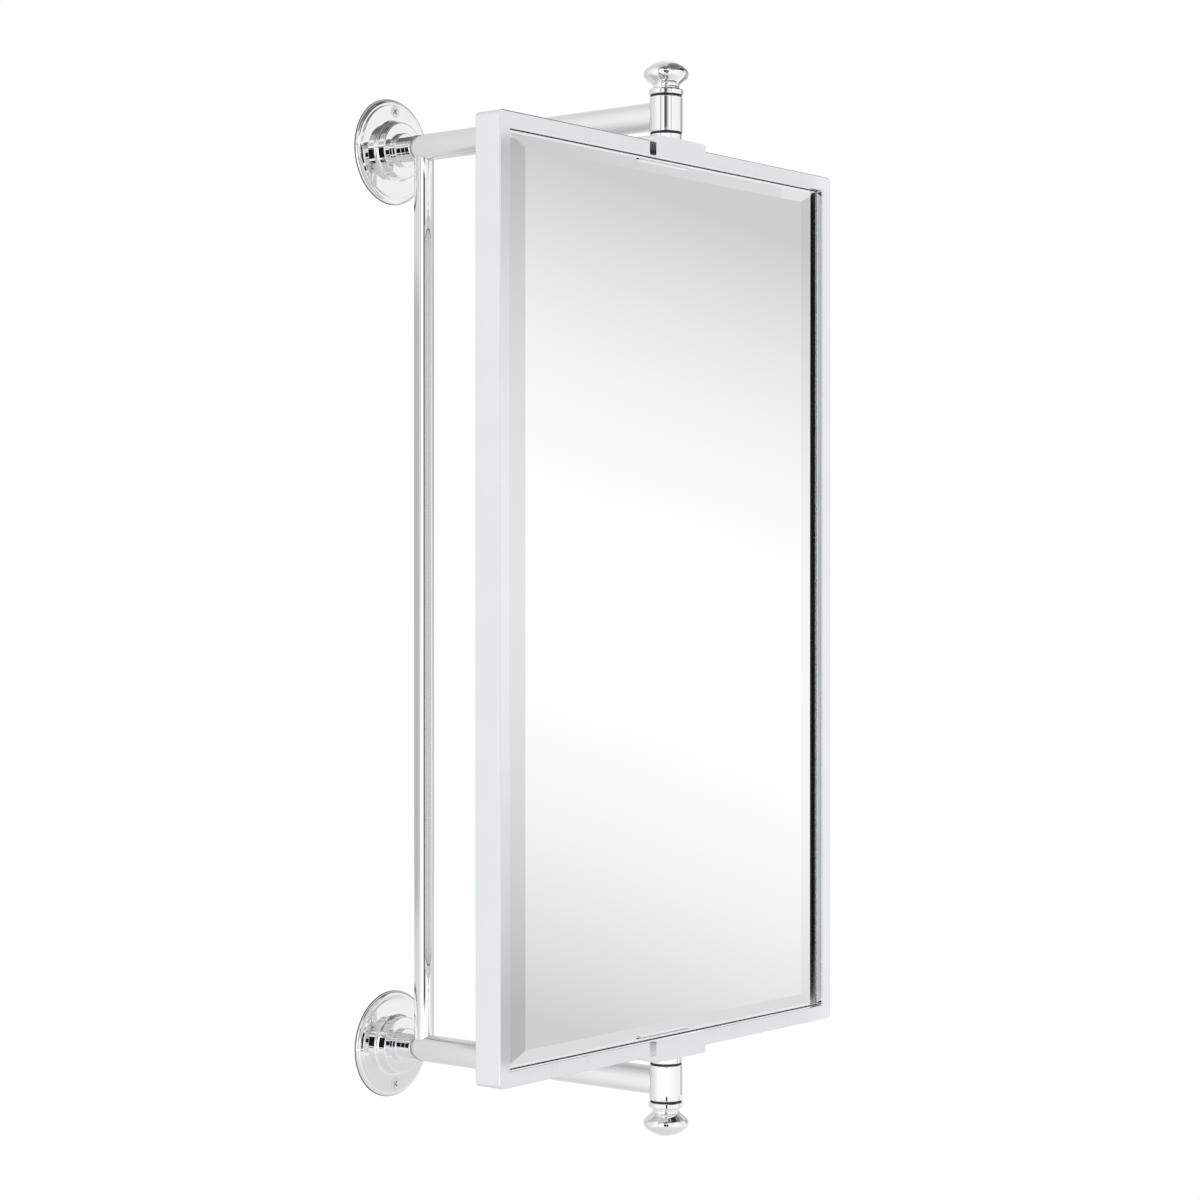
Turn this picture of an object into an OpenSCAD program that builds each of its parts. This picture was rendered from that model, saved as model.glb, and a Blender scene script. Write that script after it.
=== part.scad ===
// Pivot wall mirror: a bevelled mirror in a tube frame that turns about a
// vertical axis between two arms. Millimetres. The wall is the plane y = 0 and
// the object stands out from it towards -Y; +Z is up and +X is to the right of
// someone facing the mirror. The origin is midway between the two wall flanges.

/* [Mirror frame] */
// Width of the frame over its outside
mirror_w = 460; // [380:10:500]
// Height of the frame over its outside
mirror_h = 760; // [600:10:1200]
// Face width of the frame tube, seen from the front
bar_w = 12.7; // [11:0.1:16]
// Depth of the frame tube, front to back
bar_d = 25.4; // [24:0.2:34]
// Wall thickness of the frame tube
bar_wall = 1.5; // [1:0.1:2]
// Rounding of the tube's long edges
bar_edge_r = 1; // [0.6:0.1:2]
// Rounding of the four outer corners of the frame
corner_r = 5; // [2:0.5:8]
// Rounding of the four inner corners of the frame
opening_r = 1.5; // [0.5:0.1:2]

/* [Glass and back] */
// Depth from the front of the frame to the flat of the glass
glass_recess = 6.2; // [5:0.1:9]
// Thickness of the glass
glass_t = 5; // [4:0.5:6]
// Width of the bevel along the two sides of the glass
bevel_side = 24.5; // [8:0.5:30]
// Width of the bevel along the top and the bottom of the glass
bevel_top = 12; // [8:0.5:30]
// Depth that the bevel loses at the glass edge
bevel_depth = 0.8; // [0.6:0.1:3]
// Open gap between the glass and the frame, left and right
gap_side = 0.8; // [0.7:0.1:9]
// Open gap between the glass and the frame, above and below
gap_top = 0.5; // [0.3:0.1:6]
// Width of the black gasket strips around the back of the glass
strip_w = 12; // [10:0.5:20]
// Thickness of the gasket strips and foam tapes behind the glass
tape_t = 1; // [0.5:0.1:1.2]
// Width of one foam tape
tape_w = 25; // [15:1:40]
// Bare margin at both ends of each tape
tape_margin = 50; // [20:5:100]
// Distance between neighbouring tapes
tape_pitch = 150; // [60:5:180]
// Thickness of the back panel
panel_t = 3; // [2:0.1:3.2]

/* [Retaining tabs] */
// Width of a tab, along the frame
tab_w = 16; // [12:1:24]
// Reach of a tab over the back panel
tab_reach = 12; // [8:1:20]
// Height of a tab's leg on the frame wall
tab_leg = 6.4; // [6:0.1:7]
// Sheet thickness of a tab
tab_t = 1; // [0.8:0.1:1.4]
// Distance between neighbouring tabs on the two sides
tab_pitch_side = 250; // [120:10:300]
// Distance between the two tabs on the top or the bottom
tab_pitch_top = 240; // [120:10:300]
// Shank diameter of a tab screw
tab_screw_d = 2.6; // [2:0.1:3]
// Head diameter of a tab screw
tab_screw_head_d = 4; // [3.6:0.1:4.4]
// Head height of a tab screw
tab_screw_head_h = 1.4; // [1:0.1:2]

/* [Saddle clips] */
// Length of a clip along the frame bar
clip_l = 69; // [50:1:100]
// Thickness of a clip's front and back cheeks
clip_side_t = 3.4; // [3:0.1:6]
// Thickness of a clip over the frame bar
clip_top_t = 5; // [4:0.1:8]
// Drop of a clip's cheeks past the frame bar
clip_drop = 0.9; // [0:0.1:5]
// Rounding of the corners of a clip's cheeks
clip_corner_r = 2; // [0.5:0.1:2.4]
// Diameter of the set screws in a clip's back cheek
set_screw_d = 4; // [3:0.5:5]
// Distance between a clip's two set screws
set_screw_pitch = 44; // [24:1:46]
// Key size of the set screw's hexagon socket
set_screw_key = 2; // [1.5:0.5:2.5]

/* [Pivots] */
// Distance from the wall to the pivot axis
pivot_from_wall = 315; // [305:1:400]
// Diameter of a pivot pin's running shaft
pin_d = 12; // [10:0.5:14]
// Diameter of a pivot pin's threaded end
thread_d = 8; // [6:0.5:9]
// Length of a pivot pin's threaded end
thread_l = 14; // [10:0.5:16]
// Diameter of a pivot pin's foot, which is fixed in the clip
pin_foot_d = 10; // [8:0.5:14]
// Diameter of the collar on a pivot pin
collar_d = 26.4; // [24:0.2:28]
// Height of the collar on a pivot pin
collar_h = 5.5; // [4:0.1:8]
// Outside diameter of a knuckle barrel
barrel_d = 27.8; // [26:0.2:34]
// Length of a knuckle barrel
barrel_l = 30; // [29:0.5:40]
// Wall thickness of a nylon bush around the pin
bush_wall = 2.5; // [1.5:0.1:3.5]
// Length of a nylon bush's sleeve inside the barrel
bush_l = 12; // [8:0.5:14]
// Diameter of a nylon bush's flange
washer_d = 26.4; // [24:0.2:28]
// Thickness of a nylon bush's flange
washer_t = 1.5; // [1:0.1:3]

/* [Finials] */
// Diameter of a finial's mushroom head
finial_d = 38; // [37:0.2:42]
// Height of a finial
finial_h = 28.8; // [27:0.2:30]
// Radius of the dome on top of a finial
finial_dome_r = 24.4; // [23:0.1:26]
// Radius of the rim of a finial's head
finial_rim_r = 5.2; // [4.6:0.1:6]
// Diameter of a finial's foot
finial_foot_d = 29; // [28:0.2:30]
// Height of a finial's foot
finial_foot_h = 3.5; // [2:0.1:4]
// Radius of the hollow in a finial's neck
finial_cove_r = 2.9; // [2.4:0.1:3.2]
// Depth of the finial's threaded socket
socket_l = 15.5; // [14.5:0.5:17.5]

/* [Arms and rail] */
// Outside diameter of an arm
arm_d = 24; // [22:0.2:28]
// Wall thickness of an arm
arm_wall = 1.5; // [1:0.1:2.5]
// Outside diameter of the upright rail
rail_d = 18; // [12:0.5:22]
// Wall thickness of the upright rail
rail_wall = 1.2; // [1:0.1:2]
// Distance from the wall to the axis of the upright rail
rail_from_wall = 41; // [38:0.5:55]

/* [Wall flanges] */
// Diameter of a wall flange
flange_d = 96; // [90:1:120]
// Height of the rounded edge of a wall flange
flange_edge_h = 4; // [2.5:0.1:4.5]
// Width of the rounded edge of a wall flange
flange_edge_w = 5.5; // [4:0.1:8]
// Thickness of a wall flange's raised face
flange_t = 5.5; // [5:0.1:8]
// Diameter of a wall flange's hub
hub_d = 51; // [40:0.5:54]
// Height of a wall flange's hub above the wall
hub_h = 16; // [13:0.5:20]
// Radius of the hollow at the foot of the hub
hub_fillet_r = 3; // [1:0.5:4]
// Diameter of the ring on a neck
ring_d = 31; // [28:0.5:38]
// Thickness of the ring on a neck
ring_t = 4; // [2:0.5:6]
// Diameter of the neck between ring and arm
neck_d = 23.2; // [20:0.2:23.6]
// Diameter of the stub that holds the neck in the flange
stub_d = 16; // [10:0.5:18]
// Length of the neck's plug inside the arm
plug_l = 24; // [12:1:40]

/* [Wall screws] */
// Number of wall screws in one flange
screw_count = 3; // [3:1:6]
// Pitch circle diameter of the wall screws
screw_pcd = 73; // [70:1:74]
// Diameter of a wall screw's plain shank in the flange
screw_d = 5.4; // [4.9:0.1:5.8]
// Diameter of a wall screw's length behind the wall face
screw_thread_d = 4.2; // [3.5:0.1:4.6]
// Head diameter of a wall screw
screw_head_d = 10.6; // [9.4:0.2:11]
// Height of a wall screw's countersunk head
screw_head_h = 2.8; // [2.4:0.1:3.4]
// Length of a wall screw behind the wall face
screw_grip = 35; // [20:1:60]
// Width of the cross recess's slots
recess_w = 1.2; // [0.8:0.1:1.6]
// Depth of the cross recess
recess_h = 1.6; // [1:0.1:2]

/* [Fits] */
// Radial clearance between a turning pin and its bush
run_fit = 0.05; // [0.02:0.01:0.1]
// Clearance between the turning faces of a pivot
face_fit = 0.05; // [0.02:0.01:0.2]
// Clearance between pieces that are fixed together
seat_fit = 0.1; // [0.05:0.05:0.2]
// Clearance around the back panel
panel_fit = 0.5; // [0.3:0.1:1]

/* [Hidden] */
$fn = 96;
over = 1;           // how far a cutting shape reaches past what it cuts
rim_r = 1;          // rounding of turned rims
small_r = 0.5;      // rounding of fine turned edges
blend = 0.02;       // lets the curves of a turned profile cross instead of just touching

// Stack of each pivot, from the middle of the mirror outwards
clip_z = mirror_h / 2 + clip_top_t;          // outer face of the clip
collar_z = clip_z + collar_h;                // outer face of the pin's collar
barrel_z = collar_z + face_fit + washer_t;   // inner face of the barrel
arm_z = barrel_z + barrel_l / 2;             // axis of the arm
washer_z = barrel_z + barrel_l;              // inner face of the outer bush flange
finial_z = washer_z + washer_t + face_fit;   // foot of the finial

front_y = -pivot_from_wall - bar_d / 2;      // front face of the frame
open_w = mirror_w - 2 * bar_w;               // clear opening of the frame
open_h = mirror_h - 2 * bar_w;
glass_w = open_w - 2 * gap_side;
glass_h = open_h - 2 * gap_top;
panel_y = glass_recess + glass_t + tape_t;   // depth of the back panel's front
tab_y = panel_y + panel_t;                   // depth of the tabs
bush_d = pin_d + 2 * (run_fit + bush_wall);
arm_start = rail_from_wall - rail_d / 2;     // the arms begin at the back of the rail
neck_start = hub_h + ring_t;
screw_r = screw_pcd / 2;

// ---- helpers ----

// The lower half of the object is the upper half turned over
module lower() mirror([0, 0, 1]) children();

// Puts a shape that is turned about +Z on the wall, pointing out of it
module from_wall(z = 0) translate([0, 0, z]) rotate([90, 0, 0]) children();

// The pivot axis, at the height z
module on_pivot(z = 0) translate([0, -pivot_from_wall, z]) children();

// The frame's own place: y = 0 is the front face and +Y goes towards the wall
module in_frame() translate([0, front_y, 0]) children();

// A rectangle with rounded corners, centred
module rounded_rect(w, h, r) {
    square([w - 2 * r, h], center = true);
    square([w, h - 2 * r], center = true);
    for (sx = [-1, 1], sy = [-1, 1])
        translate([sx * (w / 2 - r), sy * (h / 2 - r)]) circle(r);
}

// Half section of a turned ring from z = 0 to z = h, its outer corners rounded
module ring_section(r_in, r_out, h, low_r = 0, high_r = 0) {
    difference() {
        translate([r_in, 0]) square([r_out - r_in, h]);
        if (high_r > 0)
            translate([r_out - high_r, h - high_r]) corner_cut(high_r);
        if (low_r > 0)
            translate([r_out - low_r, low_r]) mirror([0, 1]) corner_cut(low_r);
    }
}

// What a rounding of radius r takes off a square corner
module corner_cut(r) {
    difference() {
        square(r + over);
        circle(r);
    }
}

// Outline between two mitred ends, for a bar of the given width
module mitred(span, across, width) {
    polygon([
        [-span / 2, across / 2], [span / 2, across / 2],
        [span / 2 - width, across / 2 - width], [-span / 2 + width, across / 2 - width]
    ]);
}

// ---- wall flanges, necks and wall screws ----

module flange_section() {
    edge_r = flange_d / 2 - flange_edge_w;
    ring_section(stub_d / 2 + seat_fit, flange_d / 2, flange_edge_h, high_r = flange_edge_h - small_r);
    ring_section(stub_d / 2 + seat_fit, edge_r, flange_t, high_r = small_r);
    ring_section(stub_d / 2 + seat_fit, hub_d / 2, hub_h, high_r = rim_r);
    difference() {
        translate([hub_d / 2 - over, flange_t - over]) square(hub_fillet_r + over);
        translate([hub_d / 2 + hub_fillet_r, flange_t + hub_fillet_r]) circle(hub_fillet_r);
    }
}

module at_screws() {
    for (i = [0 : screw_count - 1])
        rotate([0, 0, 90 + i * 360 / screw_count]) translate([screw_r, 0, 0]) children();
}

module flange() {
    color("lightgray") from_wall(arm_z) difference() {
        rotate_extrude() flange_section();
        at_screws() {
            translate([0, 0, -over]) cylinder(d = screw_d + 2 * seat_fit, h = flange_t + 2 * over);
            screw_cone(seat_fit);
        }
    }
}

// The countersink and, with no clearance, the screw head that fills it
module screw_cone(gap) {
    slope = (screw_head_d - screw_d) / 2 / screw_head_h;
    top = gap > 0 ? over : 0;
    translate([0, 0, flange_t - screw_head_h])
        cylinder(r1 = screw_d / 2 + gap, r2 = screw_head_d / 2 + gap + slope * top, h = screw_head_h + top);
}

module wall_screws() {
    color("silver") from_wall(arm_z) at_screws() difference() {
        union() {
            screw_cone(0);
            cylinder(d = screw_d, h = flange_t - screw_head_h);
            translate([0, 0, -screw_grip]) cylinder(d = screw_thread_d, h = screw_grip);
            translate([0, 0, -screw_grip - screw_thread_d])
                cylinder(d1 = small_r, d2 = screw_thread_d, h = screw_thread_d);
        }
        for (turn = [45, 135])
            translate([0, 0, flange_t - recess_h / 2 + over / 2]) rotate([0, 0, turn])
                cube([screw_head_d * 0.6, recess_w, recess_h + over], center = true);
    }
}

module neck() {
    plug_d = arm_d - 2 * (arm_wall + seat_fit);
    color("lightgray") from_wall(arm_z) rotate_extrude() {
        ring_section(0, stub_d / 2, hub_h + over);
        translate([0, hub_h]) ring_section(0, ring_d / 2, ring_t, low_r = small_r, high_r = rim_r);
        translate([0, hub_h]) square([neck_d / 2, arm_start - hub_h]);
        translate([0, hub_h]) square([plug_d / 2, arm_start - hub_h + plug_l]);
    }
}

// ---- arms, rail and barrels ----

module arm() {
    color("gainsboro") difference() {
        from_wall(arm_z) translate([0, 0, arm_start]) rotate_extrude()
            ring_section(arm_d / 2 - arm_wall, arm_d / 2, pivot_from_wall - arm_start, low_r = rim_r);
        on_pivot(barrel_z - over) cylinder(d = barrel_d + 2 * seat_fit, h = barrel_l + 2 * over);
    }
}

module upright_rail() {
    color("silver") difference() {
        translate([0, -rail_from_wall, 0]) difference() {
            cylinder(d = rail_d, h = 2 * arm_z, center = true);
            cylinder(d = rail_d - 2 * rail_wall, h = 2 * arm_z + over, center = true);
        }
        for (side = [-1, 1])
            from_wall(side * arm_z) cylinder(d = arm_d + 2 * seat_fit, h = 2 * rail_from_wall);
    }
}

module barrel() {
    color("lightgray") on_pivot(barrel_z) rotate_extrude()
        ring_section(bush_d / 2 + seat_fit, barrel_d / 2, barrel_l, low_r = rim_r, high_r = rim_r);
}

// A flanged nylon bush: the flange shows as a black washer on the barrel
module bush() {
    rotate_extrude() difference() {
        union() {
            ring_section(0, washer_d / 2, washer_t);
            ring_section(0, bush_d / 2, washer_t + bush_l);
        }
        translate([0, -over]) square([pin_d / 2 + run_fit, washer_t + bush_l + 2 * over]);
    }
}

module inner_bush() {
    color("black") on_pivot(barrel_z - washer_t) bush();
}

module outer_bush() {
    color("black") on_pivot(washer_z + washer_t) mirror([0, 0, 1]) bush();
}

// ---- pivot pins, clips and finials ----

module pivot_pin() {
    color("lightgray") on_pivot(clip_z) rotate_extrude() {
        translate([0, -clip_top_t]) square([pin_foot_d / 2, clip_top_t + over]);
        ring_section(0, collar_d / 2, collar_h, high_r = small_r);
        square([pin_d / 2, washer_z + washer_t - clip_z]);
        square([thread_d / 2, finial_z + thread_l - clip_z]);
    }
}

// Half section of a finial, its foot at y = 0
module finial_section() {
    rim_in = finial_rim_r - blend;
    cove_in = finial_cove_r - blend;
    rim_x = finial_d / 2 - finial_rim_r;
    dome = [0, finial_h - finial_dome_r];
    rim = [rim_x, dome[1] + sqrt(pow(finial_dome_r - rim_in, 2) - pow(rim_x, 2))];
    cove = [finial_foot_d / 2 - small_r, finial_foot_h + finial_cove_r + rim_r];
    // the straight flank runs from the hollow's far side to the rim
    gap = cove - rim;
    flank = atan2(gap[1], gap[0]) + acos((rim_in + cove_in) / norm(gap));
    out = [cos(flank), sin(flank)];
    far = dome + (rim - dome) * 2;
    difference() {
        polygon([
            [0, 0], [finial_foot_d / 2 - small_r, 0], [finial_foot_d / 2, small_r],
            [finial_foot_d / 2, finial_foot_h], [cove[0], cove[1] - cove_in], cove,
            cove - cove_in * out, rim + rim_in * out, rim, dome
        ]);
        translate(cove) circle(finial_cove_r);
    }
    translate(rim) circle(finial_rim_r);
    intersection() {
        translate(dome) circle(finial_dome_r);
        polygon([dome, far, [far[0], finial_h + over], [0, finial_h + over]]);
    }
}

module finial() {
    color("lightgray") on_pivot(finial_z) difference() {
        rotate_extrude() finial_section();
        translate([0, 0, -over]) cylinder(d = thread_d + 2 * run_fit, h = socket_l + over);
    }
}

// A saddle clip: a channel over the frame bar, held by its set screws
module clip() {
    bar_half = bar_d / 2;
    low = -bar_w - clip_drop;
    color("gainsboro") on_pivot(mirror_h / 2) difference() {
        intersection() {
            rotate([90, 0, 90]) linear_extrude(clip_l, center = true) difference() {
                translate([-bar_half - clip_side_t, low])
                    square([bar_d + 2 * clip_side_t, clip_top_t - low]);
                translate([-bar_half, low - over]) square([bar_d, over - low]);
            }
            translate([0, 0, (clip_top_t + low) / 2]) rotate([90, 0, 0])
                linear_extrude(bar_d + 2 * clip_side_t + over, center = true)
                    rounded_rect(clip_l, clip_top_t - low, clip_corner_r);
        }
        translate([0, 0, -over]) cylinder(d = pin_foot_d + 2 * seat_fit, h = clip_top_t + 2 * over);
        at_set_screws() translate([0, 0, -over])
            cylinder(d = set_screw_d + 2 * seat_fit, h = clip_side_t + 2 * over);
    }
}

// The set screws' places, from the bar's back face outwards
module at_set_screws() {
    for (side = [-1, 1])
        translate([side * set_screw_pitch / 2, bar_d / 2, -bar_w / 2]) rotate([-90, 0, 0]) children();
}

module set_screws() {
    color("silver") on_pivot(mirror_h / 2) at_set_screws() difference() {
        cylinder(d = set_screw_d, h = clip_side_t);
        translate([0, 0, clip_side_t / 2]) cylinder(d = set_screw_key / cos(30), h = clip_side_t, $fn = 6);
    }
}

// ---- mirror frame ----

// Sweeps an outline of the frame through the depths from y0 to y1
module through(y0, y1) translate([0, y1, 0]) rotate([90, 0, 0]) linear_extrude(y1 - y0) children();

// A box section along the upper edge of a frame, inset by the tube's wall or not
module along_bar(span, across, inset) {
    translate([0, bar_d / 2, across / 2 - bar_w / 2]) rotate([0, 90, 0])
        linear_extrude(span, center = true)
            rounded_rect(bar_w - 2 * inset, bar_d - 2 * inset, bar_edge_r);
}

// One mitred tube of the frame, along its upper edge
module frame_bar(span, across) {
    web = bar_w + opening_r;
    in_frame() difference() {
        intersection() {
            union() {
                along_bar(span, across, 0);
                for (side = [-1, 1])
                    translate([side * (span / 2 - web / 2), bar_d / 2, across / 2 - web + opening_r])
                        cube([web, bar_d - 2 * bar_edge_r, 2 * opening_r], center = true);
            }
            through(-over, bar_d + over) intersection() {
                difference() {
                    rounded_rect(span, across, corner_r);
                    rounded_rect(span - 2 * bar_w, across - 2 * bar_w, opening_r);
                }
                mitred(span, across, web);
            }
        }
        intersection() {
            along_bar(span, across, bar_wall);
            through(-over, bar_d + over)
                rounded_rect(span - 2 * bar_wall, across - 2 * bar_wall, max(corner_r - bar_wall, small_r));
        }
    }
}

// The gasket strip along the upper edge of an opening, between glass and panel
module gasket_strip(span, across) {
    color("black") in_frame() through(panel_y - tape_t, panel_y) intersection() {
        rounded_rect(span, across, opening_r);
        mitred(span, across, strip_w);
    }
}

// Turns an upper piece of the frame to the left or the right side
module to_side(side) rotate([0, side * 90, 0]) children();

module frame_top_bar() {
    color("gainsboro") difference() {
        frame_bar(mirror_w, mirror_h);
        top_tabs(1) tab_screw_hole();
    }
}

module frame_side_bar(side) {
    color("gainsboro") difference() {
        to_side(side) frame_bar(mirror_h, mirror_w);
        side_tabs(side) tab_screw_hole();
    }
}

// ---- glass and back ----

// A wedge that cuts the bevel of the given width and depth along one edge of the glass
module bevel_cut(half, width, depth, length) {
    linear_extrude(length + 2 * over, center = true) polygon([
        [half - width, 0], [half - width, -over], [half + over, -over],
        [half + over, depth * (1 + over / width)]
    ]);
}

module mirror_glass() {
    color("lightblue") in_frame() translate([0, glass_recess, 0]) difference() {
        translate([-glass_w / 2, 0, -glass_h / 2]) cube([glass_w, glass_t, glass_h]);
        for (side = [0, 1]) {
            mirror([side, 0, 0]) bevel_cut(glass_w / 2, bevel_side, bevel_depth, glass_h);
            mirror([0, 0, side]) rotate([0, -90, 0])
                bevel_cut(glass_h / 2, bevel_top, bevel_depth + blend, glass_w);
        }
    }
}

module foam_tapes() {
    color("white") in_frame() for (i = [-1 : 1])
        translate([i * tape_pitch - tape_w / 2, glass_recess + glass_t, -glass_h / 2 + tape_margin])
            cube([tape_w, tape_t, glass_h - 2 * tape_margin]);
}

module back_panel() {
    color("dimgray") in_frame() through(panel_y, panel_y + panel_t)
        rounded_rect(open_w - 2 * panel_fit, open_h - 2 * panel_fit, opening_r);
}

// Places of the tabs. In each, z = 0 is the inner wall of the frame bar, -Z
// points into the opening and +Y goes towards the wall.
module top_tabs(side) {
    in_frame() for (x = [-1, 1]) translate([x * tab_pitch_top / 2, tab_y, side * open_h / 2])
        rotate([0, side > 0 ? 0 : 180, 0]) children();
}

module side_tabs(side) {
    in_frame() for (i = [-1 : 1]) translate([side * open_w / 2, tab_y, i * tab_pitch_side])
        rotate([0, side * 90, 0]) children();
}

module all_tabs() {
    for (side = [-1, 1]) {
        top_tabs(side) children();
        side_tabs(side) children();
    }
}

// Axis of a tab's screw, midway on the free part of its leg and into the frame wall
module tab_screw_axis() translate([0, (tab_leg + tab_t) / 2, 0]) children();

module tab_screw_hole() {
    tab_screw_axis() translate([0, 0, -tab_t - over])
        cylinder(d = tab_screw_d + 2 * seat_fit, h = tab_t + bar_wall + 2 * over);
}

module panel_tabs() {
    color("silver") all_tabs() difference() {
        translate([-tab_w / 2, 0, -tab_t]) cube([tab_w, tab_leg, tab_t]);
        tab_screw_hole();
    }
    color("silver") all_tabs()
        translate([-tab_w / 2, 0, -tab_reach]) cube([tab_w, tab_t, tab_reach - tab_t]);
}

module tab_screws() {
    color("dimgray") all_tabs() tab_screw_axis() {
        translate([0, 0, -tab_t]) cylinder(d = tab_screw_d, h = tab_t + bar_wall + over);
        translate([0, 0, -tab_t - tab_screw_head_h]) cylinder(d = tab_screw_head_d, h = tab_screw_head_h);
    }
}

flange();  // upper_flange
lower() flange();  // lower_flange
wall_screws();  // upper_wall_screws
lower() wall_screws();  // lower_wall_screws
neck();  // upper_neck
lower() neck();  // lower_neck
arm();  // upper_arm
lower() arm();  // lower_arm
upright_rail();
barrel();  // upper_barrel
lower() barrel();  // lower_barrel
outer_bush();  // upper_outer_bush
inner_bush();  // upper_inner_bush
lower() inner_bush();  // lower_inner_bush
lower() outer_bush();  // lower_outer_bush
pivot_pin();  // upper_pivot_pin
lower() pivot_pin();  // lower_pivot_pin
finial();  // upper_finial
lower() finial();  // lower_finial
clip();  // upper_clip
lower() clip();  // lower_clip
set_screws();  // upper_set_screws
lower() set_screws();  // lower_set_screws
frame_top_bar();  // frame_top
lower() frame_top_bar();  // frame_bottom
frame_side_bar(-1);  // frame_left
frame_side_bar(1);  // frame_right
gasket_strip(open_w, open_h);  // gasket_top
lower() gasket_strip(open_w, open_h);  // gasket_bottom
to_side(-1) gasket_strip(open_h, open_w);  // gasket_left
to_side(1) gasket_strip(open_h, open_w);  // gasket_right
mirror_glass();
foam_tapes();
back_panel();
panel_tabs();
tab_screws();
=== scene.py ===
import math

import bpy
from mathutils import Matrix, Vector


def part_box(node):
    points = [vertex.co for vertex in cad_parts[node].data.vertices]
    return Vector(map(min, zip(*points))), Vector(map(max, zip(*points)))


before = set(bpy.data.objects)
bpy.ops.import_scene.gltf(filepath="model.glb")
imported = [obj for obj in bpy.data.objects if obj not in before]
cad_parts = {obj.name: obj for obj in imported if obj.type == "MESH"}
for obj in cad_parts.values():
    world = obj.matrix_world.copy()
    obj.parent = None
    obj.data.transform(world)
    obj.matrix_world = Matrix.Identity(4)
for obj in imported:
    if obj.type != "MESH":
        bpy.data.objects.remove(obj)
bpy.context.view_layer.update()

scene = bpy.context.scene
print("frame loaded:", len(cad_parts), "nodes")


# Shader maths: a socket that can be reckoned with
class Val:
    def __init__(self, mat, socket):
        self.mat = mat
        self.socket = socket

    def __add__(self, other):
        return self.mat.maths("ADD", self, other)

    def __sub__(self, other):
        return self.mat.maths("SUBTRACT", self, other)

    def __mul__(self, other):
        return self.mat.maths("MULTIPLY", self, other)

    def __truediv__(self, other):
        return self.mat.maths("DIVIDE", self, other)

    def __radd__(self, other):
        return self.mat.maths("ADD", other, self)

    def __rsub__(self, other):
        return self.mat.maths("SUBTRACT", other, self)

    def __rtruediv__(self, other):
        return self.mat.maths("DIVIDE", other, self)

    def __rmul__(self, other):
        return self.mat.maths("MULTIPLY", other, self)


# The node tree of a material or of the world. The functions that fill one call it n, and their settings s.
class Nodes:
    def __init__(self, owner):
        owner.use_nodes = True
        self.tree = owner.node_tree
        self.tree.nodes.clear()

    def add(self, kind, settings=None, inputs=None, out=0):
        made = self.tree.nodes.new(kind)
        for key, value in (settings or {}).items():
            setattr(made, key, value)
        for key, value in (inputs or {}).items():
            self.feed(made.inputs[key], value)
        return Val(self, made.outputs[out])

    def feed(self, socket, value):
        if isinstance(value, Val):
            self.tree.links.new(value.socket, socket)
        elif socket.type == "RGBA" and len(value) == 3:
            socket.default_value = (*value, 1)
        else:
            socket.default_value = value

    def maths(self, operation, a, b=None, clamp=False):
        inputs = {0: a} if b is None else {0: a, 1: b}
        return self.add("ShaderNodeMath", {"operation": operation, "use_clamp": clamp}, inputs)

    # Goes from fromValue to toValue while value goes from low to high
    def smooth(self, value, low, high, fromValue=0.0, toValue=1.0):
        return self.add("ShaderNodeMapRange", {"interpolation_type": "SMOOTHSTEP"}, {
            "Value": value, "From Min": low, "From Max": high, "To Min": fromValue, "To Max": toValue})

    # 1 between low and high, 0 outside
    def band(self, value, low, high, soft):
        past = self.smooth(value, low - soft, low + soft)
        return past * self.smooth(value, high - soft, high + soft, 1.0, 0.0)

    def mixColour(self, factor, a, b):
        return self.add("ShaderNodeMix", {"data_type": "RGBA"}, {"Factor": factor, 6: a, 7: b}, out=2)

    def spot(self, scale=(1, 1, 1)):
        coord = self.add("ShaderNodeTexCoord", out=3)
        return self.add("ShaderNodeMapping", {}, {"Vector": coord, "Scale": scale})

    def noise(self, vector, scale, detail, rough=0.5):
        return self.add("ShaderNodeTexNoise", {}, {
            "Vector": vector, "Scale": scale, "Detail": detail, "Roughness": rough})

    def parts(self, vector):
        made = self.add("ShaderNodeSeparateXYZ", {}, {"Vector": vector}).socket.node
        return [Val(self, made.outputs[i]) for i in range(3)]

    def ray(self, kind):
        return Val(self, self.add("ShaderNodeLightPath").socket.node.outputs[f"Is {kind} Ray"])

    def finish(self, shader, kind="ShaderNodeOutputMaterial"):
        made = self.tree.nodes.new(kind)
        self.tree.links.new(shader.socket, made.inputs["Surface"])


def newMaterial(name):
    mat = bpy.data.materials.new(name)
    return mat, Nodes(mat)


cameraSet = {
    "place": (-1.840, -1.704, 0.0078),
    "yaw": 51.57,          # degrees from +Y towards +X
    "pitch": -0.22,
    "focalPixels": 2736.0,
    "photoPixels": 1200.0,
    "sensor": 36.0,
    "clip": (0.05, 60),
}


def makeCamera(s):
    data = bpy.data.cameras.new("photoCamera")
    data.sensor_fit = "HORIZONTAL"
    data.sensor_width = s["sensor"]
    data.lens = s["focalPixels"] / s["photoPixels"] * s["sensor"]
    data.clip_start, data.clip_end = s["clip"]
    data.dof.use_dof = False
    camera = bpy.data.objects.new("photoCamera", data)
    scene.collection.objects.link(camera)
    camera.location = s["place"]
    camera.rotation_euler = (math.radians(90 + s["pitch"]), 0, -math.radians(s["yaw"]))
    scene.camera = camera


makeCamera(cameraSet)
print("camera placed")


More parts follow.
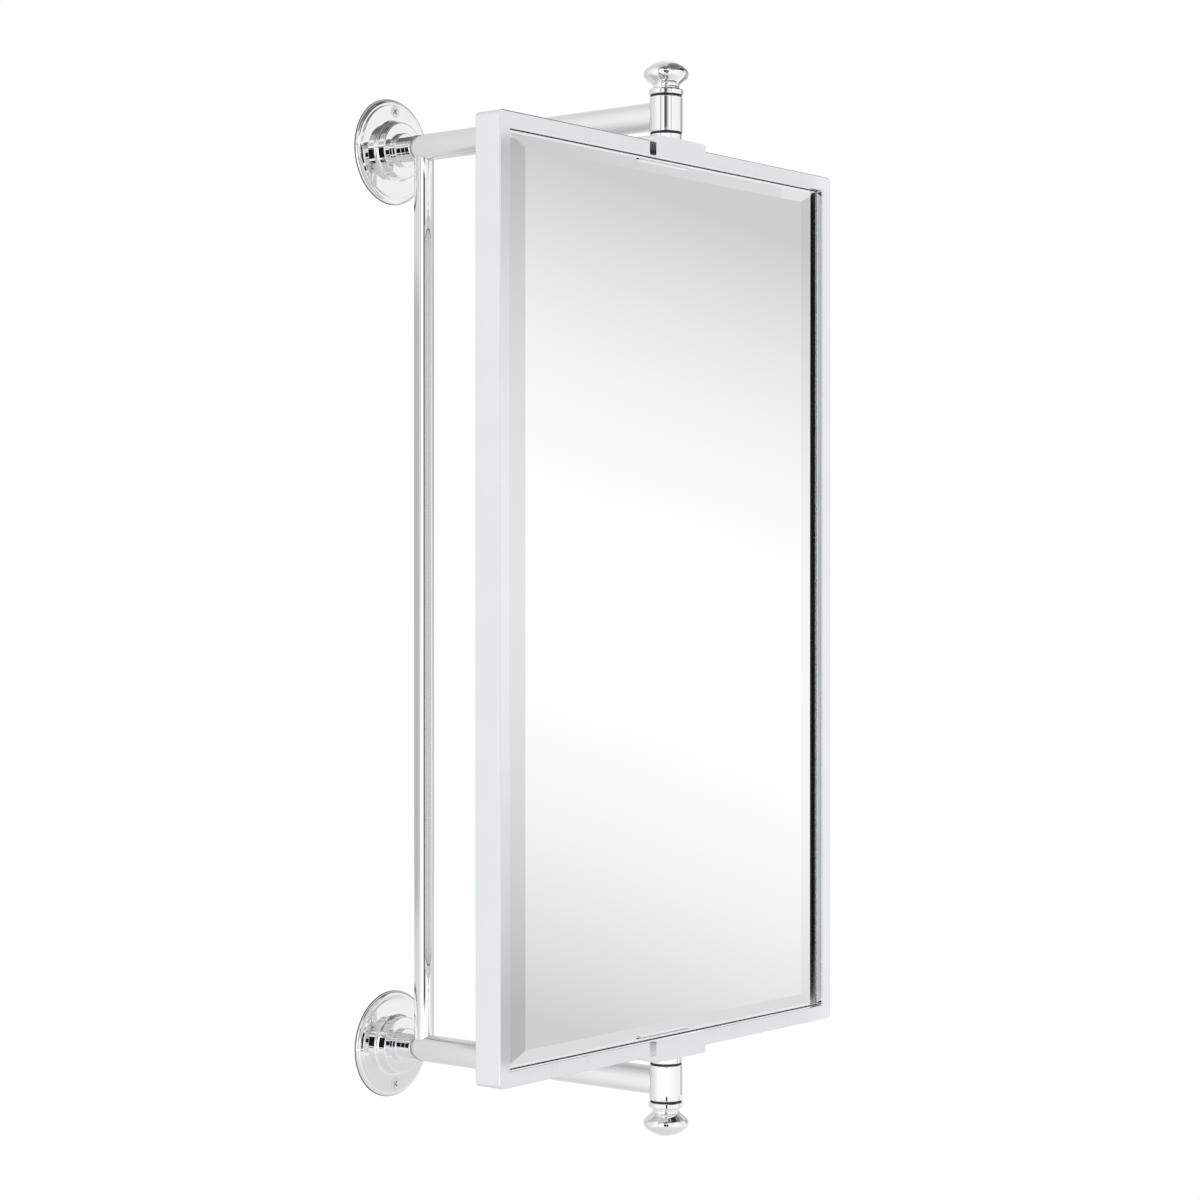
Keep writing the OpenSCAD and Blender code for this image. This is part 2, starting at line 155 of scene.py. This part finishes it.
# The studio is what the polished metal and the glass see. A place in it is given by its height and by its
# turn: the angle in degrees round the mirror's pivot, from the camera's side, positive to the picture's right.
white = (1, 1, 1)
studio = {
    "pivotY": -0.315,
    "floorZ": -0.86,
    "wallTop": 3.2,
    "diffuseLevel": 0.86,  # level at which world and wall light matt surfaces
}
yaw = math.radians(cameraSet["yaw"])
toCamera = (-math.sin(yaw), -math.cos(yaw))
toRight = (math.cos(yaw), -math.sin(yaw))


# x and y of the point at a turn and a distance from the pivot
def roundPivot(turn, radius):
    angle = math.radians(turn)
    x, y = [radius * (math.cos(angle) * toCamera[k] + math.sin(angle) * toRight[k]) for k in range(2)]
    return x, y + studio["pivotY"]


# The turn of a shaded point, from its x and y measured from the pivot
def turnAngle(n, x, y):
    sideways = x * toRight[0] + y * toRight[1]
    return n.maths("ARCTAN2", sideways, x * toCamera[0] + y * toCamera[1]) * (180 / math.pi)


def distance(n, x, y):
    return n.maths("SQRT", x * x + y * y)


def inMetal(n):
    return n.maths("ADD", n.ray("Glossy"), n.ray("Transmission"), clamp=True)


# Metal sees the given level, matt surfaces get a plain one, and the camera sees white
def shownLevel(n, level):
    shown = inMetal(n)
    isCamera = n.ray("Camera")
    strength = studio["diffuseLevel"] * (1 - shown) + level * shown
    return strength * (1 - isCamera) + isCamera


# A sheet that only the metal and the glass see
def glowSheet(n, level):
    glow = n.add("ShaderNodeEmission", {}, {"Color": white, "Strength": level})
    clear = n.add("ShaderNodeBsdfTransparent", {}, {"Color": white})
    n.finish(n.add("ShaderNodeMixShader", {}, {0: inMetal(n), 1: clear, 2: glow}))


def addStage(name, points, faces, mat):
    mesh = bpy.data.meshes.new(name)
    mesh.from_pydata(points, [], faces)
    made = bpy.data.objects.new(name, mesh)
    scene.collection.objects.link(made)
    mesh.materials.append(mat)


sky = {
    "below": 0.9,
    "above": 0.18,
    "edge": 0.05,          # half of the stretch, in height over distance, where one gives way to the other
}


def makeWorld(s):
    world = bpy.data.worlds.new("studio")
    scene.world = world
    n = Nodes(world)
    x, y, z = n.parts(n.add("ShaderNodeTexCoord", out=0))
    level = n.smooth(z, -s["edge"], s["edge"], s["below"], s["above"])
    background = n.add("ShaderNodeBackground", {}, {"Color": white, "Strength": shownLevel(n, level)})
    n.finish(background, "ShaderNodeOutputWorld")


# The white screen round the front. In its pairs a change starts at the first number and ends at the second.
screen = {
    "radius": 2.4,
    "firstTurn": -38,
    "sweep": 180,
    "steps": 96,
    "fade": {"turns": (-20, 118), "levels": (1.10, 0.93)},
    "top": (0.765, 0.785),                 # height up to which the lamp and the camera's stand reach
    "lamp": {"turns": (-12, -8), "gain": 0.6},
    "frameGain": {"turns": (110.15, 112.3), "soft": 0.1, "gain": 0.1},
    "rightEnd": {"turns": (118, 121), "loss": 0.45},
    "upperRight": {"heights": (1.12, 1.25), "turns": (84, 92), "endTurns": (101, 106), "end": 0.3,
                   "loss": 0.82},
    # painted shade where the bevel at the top of the glass looks, along a line that sinks to the right
    "topBevel": {"slope": 0.0139, "middleTurn": 99.6, "heights": (0.985, 1.2), "heightSoft": 0.01,
                 "turns": (92, 116), "turnSoft": 3, "lossTurns": (98, 110), "losses": (0.34, 0.22)},
}

# The soft light seen in the glass, brightest along a slanting line and dimmer where the side bevels look
glassLight = {
    "turns": (98.0, 110.2),                # where the flat of the glass looks
    "slant": 0.0155,
    "slantTurn": 100,
    "best": 1.045,
    "fall": 0.73,
    "least": 0.64,
    "leftBevel": {"turns": (96.2, 97.0), "level": 0.76},
    "rightBevel": {"turns": (111.3, 111.9), "level": 0.92},
    "spans": [((91.0, 110.15), 0.1), ((112.3, 115.5), 0.15)],      # turns and softness
    "widening": 0.0085,                    # its upper and lower edge close in by this for each degree
    "upperEdge": (0.777, 0.787),
    "lowerEdge": (-0.812, -0.802),
}

# Painted dark reflections of the camera, its stand, and the gaps and edges of the screens beside it
paintedScreenDark = {
    "aboveTop": (0.785, 0.80),
    "aboveEnd": (1.1, 1.2),
    "headEnd": (0.93, 0.99),
    "standFoot": (-0.78, -0.74),
    "edge": {"heights": (0.3, 1.0), "soft": 0.05},
    # turns, softness, zone and darkness
    "bands": [
        ((-33, -29), 1.5, "above", 0.5),
        ((-15, -8), 1.0, "above", 0.72),
        ((-9, 4), 0.5, "head", 0.92),
        ((-13, 2.3), 0.4, "stand", 0.99),
        ((4.1, 12), 0.4, "stand", 0.99),
        ((4, 9), 1.0, "above", 0.6),
        ((9, 18), 1.5, "above", 0.35),
        ((33, 38), 1.0, "edge", 0.55),
    ],
    "overScreens": {"heights": (1.9, 2.4), "dark": 0.55},
    "overCamera": {"heights": (1.15, 1.3), "dark": 0.45, "turns": (-15, 6), "soft": 2},
}


def screenLevel(n, turn, z, low, s):
    level = n.smooth(turn, *s["fade"]["turns"], *s["fade"]["levels"])
    lamp = n.smooth(turn, *s["lamp"]["turns"], 1.0, 0.0) * low
    level = level * (1 + s["lamp"]["gain"] * lamp)
    gain = s["frameGain"]
    level = level * (1 + gain["gain"] * n.band(turn, *gain["turns"], gain["soft"]))
    level = level * (1 - s["rightEnd"]["loss"] * n.smooth(turn, *s["rightEnd"]["turns"]))
    upper = s["upperRight"]
    place = n.smooth(z, *upper["heights"]) * n.smooth(turn, *upper["turns"])
    level = level * (1 - upper["loss"] * place * n.smooth(turn, *upper["endTurns"], 1.0, upper["end"]))
    # painted shade on the screen where the glass's top bevel looks
    bevel = s["topBevel"]
    height = z + bevel["slope"] * (turn - bevel["middleTurn"])
    place = n.band(turn, *bevel["turns"], bevel["turnSoft"])
    place = place * n.band(height, *bevel["heights"], bevel["heightSoft"])
    return level * (1 - n.smooth(turn, *bevel["lossTurns"], *bevel["losses"]) * place)


def addGlassLight(n, level, turn, z, s):
    across = n.maths("MAXIMUM", n.maths("MINIMUM", turn, s["turns"][1]), s["turns"][0])
    offset = z + s["slant"] * (across - s["slantTurn"])
    glow = n.maths("MAXIMUM", s["best"] - s["fall"] * (offset * offset), s["least"])
    glow = glow * n.smooth(turn, *s["leftBevel"]["turns"], s["leftBevel"]["level"], 1.0)
    glow = glow * n.smooth(turn, *s["rightBevel"]["turns"], 1.0, s["rightBevel"]["level"])
    (wide, wideSoft), (narrow, narrowSoft) = s["spans"]
    place = n.band(turn, *wide, wideSoft) + n.band(turn, *narrow, narrowSoft)
    closer = s["widening"] * (across - s["turns"][0])
    place = place * n.smooth(z + closer, *s["upperEdge"], 1.0, 0.0)
    place = place * n.smooth(z - closer, *s["lowerEdge"])
    return level * (1 - place) + glow * place


# Paints the dark reflections of the camera, its stand and the screens' edges into the screen
def addPaintedScreenDark(n, level, turn, z, low, s):
    above = n.smooth(z, *s["aboveTop"]) * n.smooth(z, *s["aboveEnd"], 1.0, 0.0)
    zones = {
        "above": above,
        "head": above * n.smooth(z, *s["headEnd"], 1.0, 0.0),
        "stand": n.smooth(z, *s["standFoot"]) * low,
        "edge": n.band(z, *s["edge"]["heights"], s["edge"]["soft"]),
    }
    over = s["overCamera"]
    dark = n.smooth(z, *over["heights"], 0.0, over["dark"]) * n.band(turn, *over["turns"], over["soft"])
    dark = dark + n.smooth(z, *s["overScreens"]["heights"], 0.0, s["overScreens"]["dark"])
    for turns, soft, zone, depth in s["bands"]:
        dark = n.maths("MAXIMUM", dark, n.band(turn, *turns, soft) * zones[zone] * depth)
    return level * (1 - dark)


def makeScreen(s):
    mat, n = newMaterial("whiteScreen")
    x, y, z = n.parts(n.add("ShaderNodeTexCoord", out=3))
    turn = turnAngle(n, x, y - studio["pivotY"])
    low = n.smooth(z, *s["top"], 1.0, 0.0)
    level = screenLevel(n, turn, z, low, s)
    level = addGlassLight(n, level, turn, z, glassLight)
    level = addPaintedScreenDark(n, level, turn, z, low, paintedScreenDark)
    glowSheet(n, level)
    points, faces = [], []
    for i in range(s["steps"] + 1):
        x, y = roundPivot(s["firstTurn"] + s["sweep"] * i / s["steps"], s["radius"])
        points += [(x, y, studio["floorZ"]), (x, y, studio["wallTop"])]
        if i > 0:
            faces.append((2 * i - 2, 2 * i - 1, 2 * i + 1, 2 * i))
    addStage("screen", points, faces, mat)


# A dark sheet that hangs over the right of the object and that only the metal sees: a painted dark reflection.
# Its distances are from the pivot.
darkReflectionSheet = {
    "z": 0.80,
    "radius": 0.80,
    "firstTurn": 18,
    "sweep": 106,
    "steps": 24,
    "fade": {"turns": (20, 60), "levels": (0.22, 0.12)},
    "patch": {"turns": (78, 118), "turnSoft": 8, "distances": (0.38, 0.80), "soft": 0.04, "loss": 0.75},
    "ring": {"distances": (0.27, 0.33), "soft": 0.02, "level": 0.5},
    "middle": {"distances": (0.22, 0.26), "level": 0.14},
}


# Paints the dark reflection that only the metal sees over the right of the object
def makeDarkReflectionSheet(s):
    mat, n = newMaterial("paintedDarkReflection")
    x, y, z = n.parts(n.add("ShaderNodeTexCoord", out=3))
    y = y - studio["pivotY"]
    turn = turnAngle(n, x, y)
    far = distance(n, x, y)
    level = n.smooth(turn, *s["fade"]["turns"], *s["fade"]["levels"])
    patch = s["patch"]
    place = n.band(turn, *patch["turns"], patch["turnSoft"]) * n.band(far, *patch["distances"], patch["soft"])
    level = level * (1 - patch["loss"] * place)
    ring = s["ring"]
    level = n.maths("MAXIMUM", level, ring["level"] * n.band(far, *ring["distances"], ring["soft"]))
    middle = s["middle"]
    level = n.maths("MAXIMUM", level, middle["level"] * n.smooth(far, *middle["distances"], 1.0, 0.0))
    glowSheet(n, level)
    points = [(0, studio["pivotY"], s["z"])]
    faces = []
    for i in range(s["steps"] + 1):
        x, y = roundPivot(s["firstTurn"] + s["sweep"] * i / s["steps"], s["radius"])
        points.append((x, y, s["z"]))
        if i > 0:
            faces.append((0, i, i + 1))
    addStage("darkReflectionSheet", points, faces, mat)


# The pale floor. Its distances are from the middle of the wall's foot.
floor = {
    "radius": 3.4,
    "middleY": -0.2,
    "steps": 96,
    "colour": (0.86, 0.86, 0.86),
    "lift": 0.34,          # added for the camera, so that only the shadow shows on the floor
    "fade": {"distances": (0.1, 2.0), "levels": (0.74, 0.98)},
    # painted shade where the bevel at the bottom of the glass looks, farther off to the right
    "bevel": {"turns": (92, 118), "turnSoft": 2, "slope": 0.044, "leftTurn": 98.5, "distances": (1.85, 1.92),
              "loss": 0.25},
    # painted dark reflection of the foot of the camera's stand
    "standFoot": {"turns": (-2, 9), "soft": 1.0, "distances": (1.3, 1.5), "loss": 0.97},
}


def makeFloor(s):
    mat, n = newMaterial("paleFloor")
    x, y, z = n.parts(n.add("ShaderNodeTexCoord", out=3))
    turn = turnAngle(n, x, y - studio["pivotY"])
    far = distance(n, x, y)
    matt = n.add("ShaderNodeBsdfDiffuse", {}, {"Color": s["colour"]})
    lift = n.add("ShaderNodeEmission", {}, {"Color": white, "Strength": s["lift"] * n.ray("Camera")})
    lit = n.add("ShaderNodeAddShader", {}, {0: matt, 1: lift})
    level = n.smooth(far, *s["fade"]["distances"], *s["fade"]["levels"])
    # painted shade on the floor where the glass's bottom bevel looks
    bevel = s["bevel"]
    beyond = n.smooth(far - bevel["slope"] * (turn - bevel["leftTurn"]), *bevel["distances"])
    level = level * (1 - bevel["loss"] * n.band(turn, *bevel["turns"], bevel["turnSoft"]) * beyond)
    # painted dark reflection of the camera stand's foot
    foot = s["standFoot"]
    place = n.band(turn, *foot["turns"], foot["soft"]) * n.smooth(far, *foot["distances"])
    level = level * (1 - foot["loss"] * place)
    glow = n.add("ShaderNodeEmission", {}, {"Color": white, "Strength": level})
    n.finish(n.add("ShaderNodeMixShader", {}, {0: inMetal(n), 1: lit, 2: glow}))
    points = []
    for i in range(s["steps"]):
        angle = 2 * math.pi * i / s["steps"]
        x, y = s["radius"] * math.cos(angle), s["radius"] * math.sin(angle)
        points.append((x, y + s["middleY"], studio["floorZ"]))
    addStage("floor", points, [range(s["steps"])], mat)


# The white wall that the mirror hangs on. It is seen from the front only.
wall = {
    "width": 9.0,
    "y": 0.0004,
    "level": 1.09,
    # the mirror keeps the light off the wall behind it, most of all at its middle height
    "shade": {"x": 0.05, "width": 0.4, "loss": 0.38},
    "deepShade": {"heights": (0.26, 0.33), "x": (-0.5, -0.2), "loss": 0.22},
    "upper": {"heights": (0.8, 1.6), "level": 0.72},
    "flangeShadow": {"from": 0.001, "to": 0.008, "level": 0.08},    # outside the flange's edge
    # towards the right it gets no light of its own
    "right": {"x": (0.5, 0.8), "heights": (-0.5, 0.5), "losses": (0.35, 0.65)},
}


def makeWall(s):
    flangeLow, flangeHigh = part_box("upper_flange")
    flangeZ = (flangeLow[2] + flangeHigh[2]) / 2
    mat, n = newMaterial("whiteWall")
    x, y, z = n.parts(n.add("ShaderNodeTexCoord", out=3))
    upOrDown = n.maths("ABSOLUTE", z)
    shade, deep = s["shade"], s["deepShade"]
    more = n.smooth(upOrDown, *deep["heights"], deep["loss"], 0.0) * n.smooth(x, *deep["x"])
    away = (x - shade["x"]) / shade["width"]
    level = s["level"] - (shade["loss"] + more) / (1 + away * away)
    level = level * n.smooth(z, *s["upper"]["heights"], 1.0, s["upper"]["level"])
    ring = s["flangeShadow"]
    outside = distance(n, x, upOrDown - flangeZ) - flangeHigh[0]
    level = level * n.smooth(outside, ring["from"], ring["to"], ring["level"], 1.0)
    right = s["right"]
    level = level * (1 - n.smooth(x, *right["x"]) * n.smooth(z, *right["heights"], *right["losses"]))
    front = n.add("ShaderNodeEmission", {}, {"Color": white, "Strength": shownLevel(n, level)})
    clear = n.add("ShaderNodeBsdfTransparent", {}, {"Color": white})
    isBack = Val(n, n.add("ShaderNodeNewGeometry").socket.node.outputs["Backfacing"])
    n.finish(n.add("ShaderNodeMixShader", {}, {0: isBack, 1: front, 2: clear}))
    half = s["width"] / 2
    bottom, top = studio["floorZ"], studio["wallTop"]
    corners = [(-half, bottom), (half, bottom), (half, top), (-half, top)]
    addStage("wall", [(x, s["y"], z) for x, z in corners], [(0, 1, 2, 3)], mat)


lamp = {
    "place": (-0.8, -1.6, 2.4),
    "aim": (0, -0.2, 0),
    "size": 1.8,
    "power": 16,
}


# A soft lamp for the matt pieces, which the metal doesn't see
def makeLamp(s):
    data = bpy.data.lights.new("topLamp", "AREA")
    data.shape = "DISK"
    data.size = s["size"]
    data.energy = s["power"]
    made = bpy.data.objects.new("topLamp", data)
    scene.collection.objects.link(made)
    made.location = s["place"]
    made.rotation_euler = (Vector(s["aim"]) - Vector(s["place"])).to_track_quat("-Z", "Y").to_euler()
    made.visible_glossy = False
    made.visible_camera = False


makeWorld(sky)
makeScreen(screen)
makeDarkReflectionSheet(darkReflectionSheet)
makeFloor(floor)
makeWall(wall)
makeLamp(lamp)
scene.view_settings.view_transform = "Standard"
print("studio ready")


# Polished chrome: a tint that is a little cloudy, and faint smears that dull it
def makeChrome(name, s):
    mat, n = newMaterial(name)
    cloud = n.noise(n.spot(), s["cloudScale"], s["cloudDetail"])
    smear = n.noise(n.spot(s["smearStretch"]), s["smearScale"], s["smearDetail"], s["smearRough"])
    n.finish(n.add("ShaderNodeBsdfPrincipled", {}, {
        "Base Color": n.mixColour(cloud, s["dark"], s["light"]),
        "Metallic": 1.0,
        "Roughness": s["rough"] + s["roughSpread"] * n.smooth(smear, *s["smearEdges"]),
        "Normal": n.add("ShaderNodeBump", {}, {
            "Strength": s["bump"], "Distance": s["bumpDistance"], "Height": smear})}))
    return mat


chromeTurned = {
    "dark": (0.89, 0.895, 0.90),
    "light": (0.945, 0.95, 0.955),
    "cloudScale": 30.0,
    "cloudDetail": 4,
    "smearScale": 120.0,
    "smearDetail": 5,
    "smearRough": 0.6,
    "smearStretch": (1, 1, 1),
    "smearEdges": (0.45, 0.75),
    "rough": 0.012,
    "roughSpread": 0.03,
    "bump": 0.01,
    "bumpDistance": 0.0002,
}
chromeTube = {
    **chromeTurned,
    "smearStretch": (1, 0.1, 1),
    "rough": 0.04,
    "roughSpread": 0.04,
}
chromeRail = {
    **chromeTurned,
    "smearStretch": (1, 1, 0.1),
    "rough": 0.008,
    "roughSpread": 0.015,
}
chromeFrame = {
    **chromeTurned,
    "dark": (0.775, 0.797, 0.808),
    "light": (0.825, 0.845, 0.855),
    "smearStretch": (1, 1, 0.1),
    "rough": 0.05,
}
chromeClip = {
    **chromeFrame,
    "smearStretch": (1, 1, 1),
    "rough": 0.045,
}


# Silvered glass whose four narrow sides are ground
def makeGlass(name, s):
    glassLow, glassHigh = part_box("mirror_glass")
    mat, n = newMaterial(name)
    x, y, z = n.parts(n.spot())
    inner, outer = s["groundFrom"], s["groundTo"]
    side = n.smooth(n.maths("ABSOLUTE", x), glassHigh[0] - inner, glassHigh[0] - outer)
    end = n.smooth(n.maths("ABSOLUTE", z), glassHigh[2] - inner, glassHigh[2] - outer)
    ground = n.maths("MAXIMUM", side, end)
    haze = n.noise(n.spot(), s["hazeScale"], s["hazeDetail"])
    silver = n.mixColour(haze, s["dark"], s["light"])
    n.finish(n.add("ShaderNodeBsdfPrincipled", {}, {
        "Base Color": n.mixColour(ground, silver, s["ground"]),
        "Metallic": 1 - ground,
        "Roughness": s["rough"] + s["groundRough"] * ground}))
    return mat


silveredGlass = {
    "dark": (0.955, 0.966, 0.962),
    "light": (0.972, 0.98, 0.977),
    "hazeScale": 6.0,
    "hazeDetail": 4,
    "rough": 0.004,
    "ground": (0.80, 0.86, 0.85),
    "groundRough": 0.5,
    "groundFrom": 0.0006,  # metres from the glass's edge
    "groundTo": 0.0003,
}


# A grained finish, matt or of plain steel
def makeGrained(name, s):
    mat, n = newMaterial(name)
    grain = n.noise(n.spot(), s["scale"], s["detail"], s["grainRough"])
    n.finish(n.add("ShaderNodeBsdfPrincipled", {}, {
        "Base Color": n.mixColour(grain, s["dark"], s["light"]),
        "Metallic": s["metallic"],
        "Roughness": s["rough"] + s["roughSpread"] * grain,
        "Normal": n.add("ShaderNodeBump", {}, {
            "Strength": s["bump"], "Distance": s["bumpDistance"], "Height": grain})}))
    return mat


blackNylon = {
    "dark": (0.004, 0.004, 0.005),
    "light": (0.012, 0.012, 0.013),
    "metallic": 0.0,
    "scale": 900.0,
    "detail": 5,
    "grainRough": 0.6,
    "rough": 0.55,
    "roughSpread": 0.1,
    "bump": 0.15,
    "bumpDistance": 0.0003,
}
blackRubber = {
    **blackNylon,
    "dark": (0.010, 0.010, 0.011),
    "light": (0.028, 0.028, 0.03),
    "scale": 700.0,
    "bump": 0.3,
}
foamTape = {
    **blackNylon,
    "dark": (0.70, 0.70, 0.68),
    "light": (0.86, 0.86, 0.84),
    "scale": 500.0,
    "rough": 0.8,
    "bump": 0.6,
}
coatedBoard = {
    **blackNylon,
    "dark": (0.70, 0.70, 0.69),
    "light": (0.78, 0.78, 0.77),
    "scale": 260.0,
    "rough": 0.5,
    "bump": 0.25,
}
screwSteel = {
    "dark": (0.70, 0.70, 0.71),
    "light": (0.86, 0.86, 0.87),
    "metallic": 1.0,
    "scale": 400.0,
    "detail": 4,
    "grainRough": 0.6,
    "rough": 0.07,
    "roughSpread": 0.12,
    "bump": 0.08,
    "bumpDistance": 0.0001,
}
tabSteel = {
    **screwSteel,
    "dark": (0.55, 0.55, 0.56),
    "light": (0.72, 0.72, 0.73),
    "rough": 0.25,
}

# Each finish and the nodes that wear it
finishes = [
    (makeChrome("turnedChrome", chromeTurned), [
        "upper_flange", "lower_flange", "upper_neck", "lower_neck", "upper_barrel", "lower_barrel",
        "upper_pivot_pin", "lower_pivot_pin", "upper_finial", "lower_finial"]),
    (makeChrome("tubeChrome", chromeTube), ["upper_arm", "lower_arm"]),
    (makeChrome("railChrome", chromeRail), ["upright_rail"]),
    (makeChrome("frameChrome", chromeFrame), ["frame_top", "frame_bottom", "frame_left", "frame_right"]),
    (makeChrome("clipChrome", chromeClip), ["upper_clip", "lower_clip"]),
    (makeGlass("silveredGlass", silveredGlass), ["mirror_glass"]),
    (makeGrained("blackNylon", blackNylon), [
        "upper_outer_bush", "upper_inner_bush", "lower_inner_bush", "lower_outer_bush"]),
    (makeGrained("blackRubber", blackRubber), ["gasket_top", "gasket_bottom", "gasket_left", "gasket_right"]),
    (makeGrained("foamTape", foamTape), ["foam_tapes"]),
    (makeGrained("coatedBoard", coatedBoard), ["back_panel"]),
    (makeGrained("screwSteel", screwSteel), [
        "upper_wall_screws", "lower_wall_screws", "upper_set_screws", "lower_set_screws", "tab_screws"]),
    (makeGrained("tabSteel", tabSteel), ["panel_tabs"]),
]
for mat, names in finishes:
    for name in names:
        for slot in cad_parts[name].material_slots:
            slot.material = mat
print("finishes assigned")
